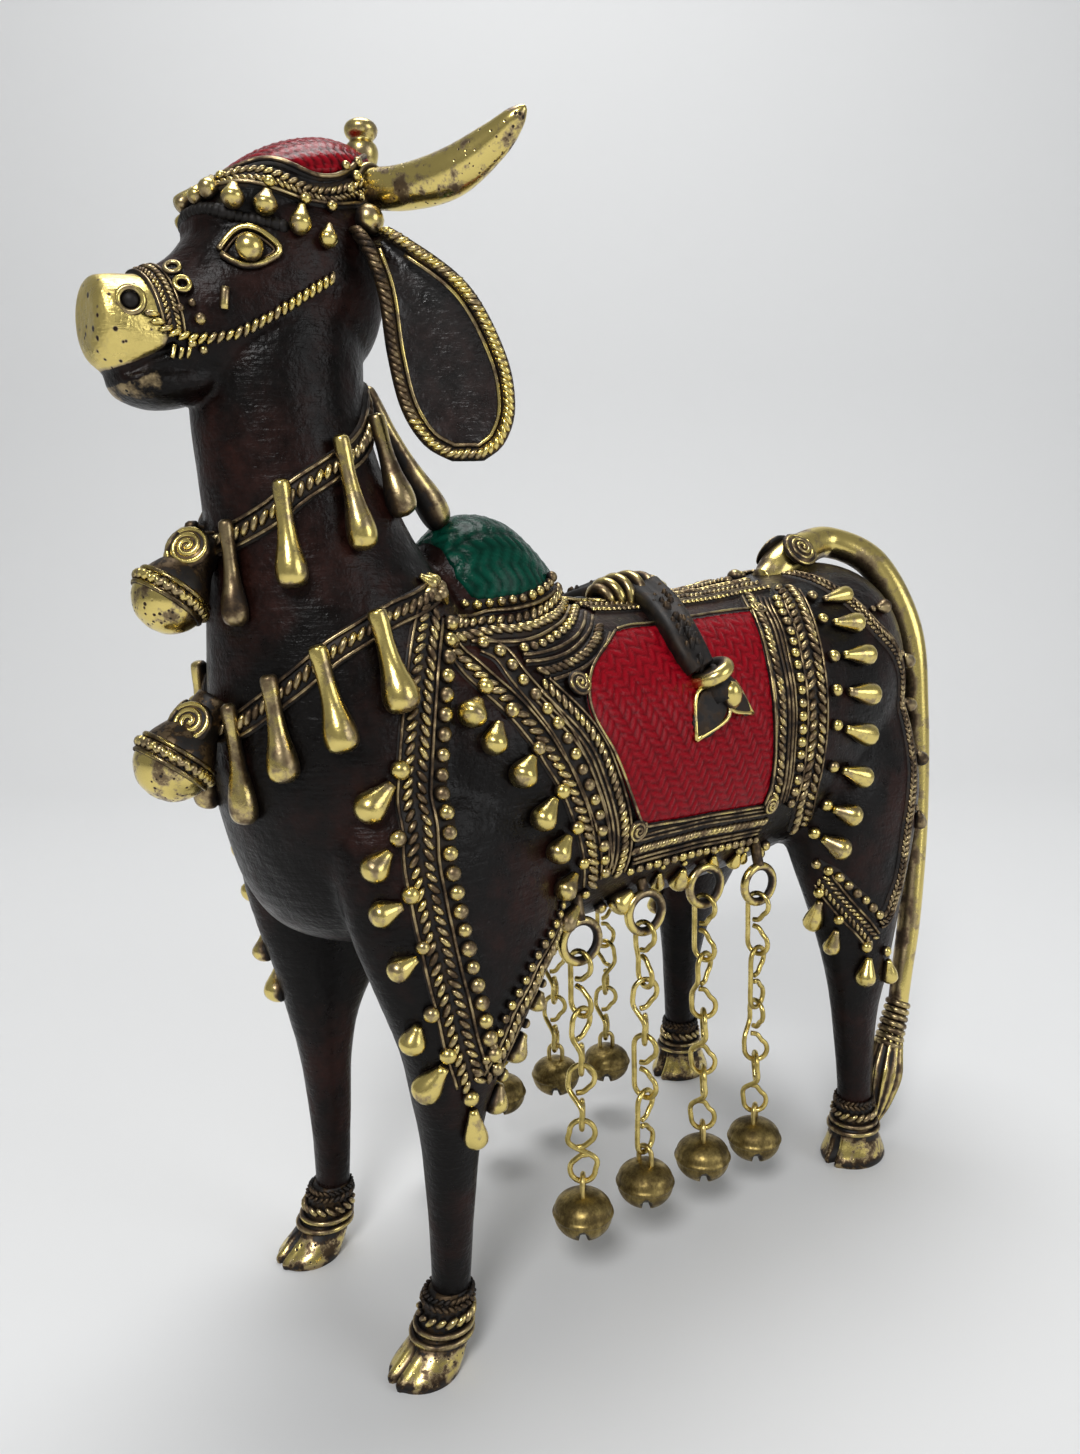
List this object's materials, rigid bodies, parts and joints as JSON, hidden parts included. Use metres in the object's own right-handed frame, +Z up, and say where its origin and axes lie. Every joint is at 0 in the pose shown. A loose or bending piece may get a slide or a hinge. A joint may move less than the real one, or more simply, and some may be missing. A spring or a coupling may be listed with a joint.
{
  "type": "decorated bull figure",
  "caption": "Standing cast brass bull with raised neck, drooping ears, curved horns, beaded caparison, tassel, and wire chains ending in small round bells.",
  "frame": {"origin": "on the floor below the middle of the figure's length, on its middle plane", "axes": "+Z up, -X towards the head, -Y towards the bull's left side"},
  "size_m": [0.2472, 0.092, 0.28],
  "materials": {
    "dark_lacquer": "glossy dark brown-black lacquer over cast brass, with red-brown patches",
    "brass": "polished high spots of the cast brass, dark in the hollows",
    "red_lacquer": "glossy dark red enamel paint over a woven texture",
    "green_lacquer": "glossy dark green enamel paint",
    "chain_brass": "bright drawn brass wire",
    "bell_brass": "dull aged brass, dark in the hollows"
  },
  "bodies": {
    "root": {"bull": "dark_lacquer", "chain_left_1_link_1": "chain_brass", "chain_left_1_link_2": "chain_brass", "chain_left_1_link_3": "chain_brass", "chain_left_1_link_4": "chain_brass", "chain_left_2_link_1": "chain_brass", "chain_left_2_link_2": "chain_brass", "chain_left_2_link_3": "chain_brass", "chain_left_2_link_4": "chain_brass", "chain_left_3_link_1": "chain_brass", "chain_left_3_link_2": "chain_brass", "chain_left_3_link_3": "chain_brass", "chain_left_3_link_4": "chain_brass", "chain_left_4_link_1": "chain_brass", "chain_left_4_link_2": "chain_brass", "chain_left_4_link_3": "chain_brass", "chain_left_4_link_4": "chain_brass", "chain_right_1_link_1": "chain_brass", "chain_right_1_link_2": "chain_brass", "chain_right_1_link_3": "chain_brass", "chain_right_1_link_4": "chain_brass", "chain_right_2_link_1": "chain_brass", "chain_right_2_link_2": "chain_brass", "chain_right_2_link_3": "chain_brass", "chain_right_2_link_4": "chain_brass", "chain_right_3_link_1": "chain_brass", "chain_right_3_link_2": "chain_brass", "chain_right_3_link_3": "chain_brass", "chain_right_3_link_4": "chain_brass", "chain_right_4_link_1": "chain_brass", "chain_right_4_link_2": "chain_brass", "chain_right_4_link_3": "chain_brass", "chain_right_4_link_4": "chain_brass", "bell_left_1": "bell_brass", "bell_left_2": "bell_brass", "bell_left_3": "bell_brass", "bell_left_4": "bell_brass", "bell_right_1": "bell_brass", "bell_right_2": "bell_brass", "bell_right_3": "bell_brass", "bell_right_4": "bell_brass"}
  },
  "joints": []
}
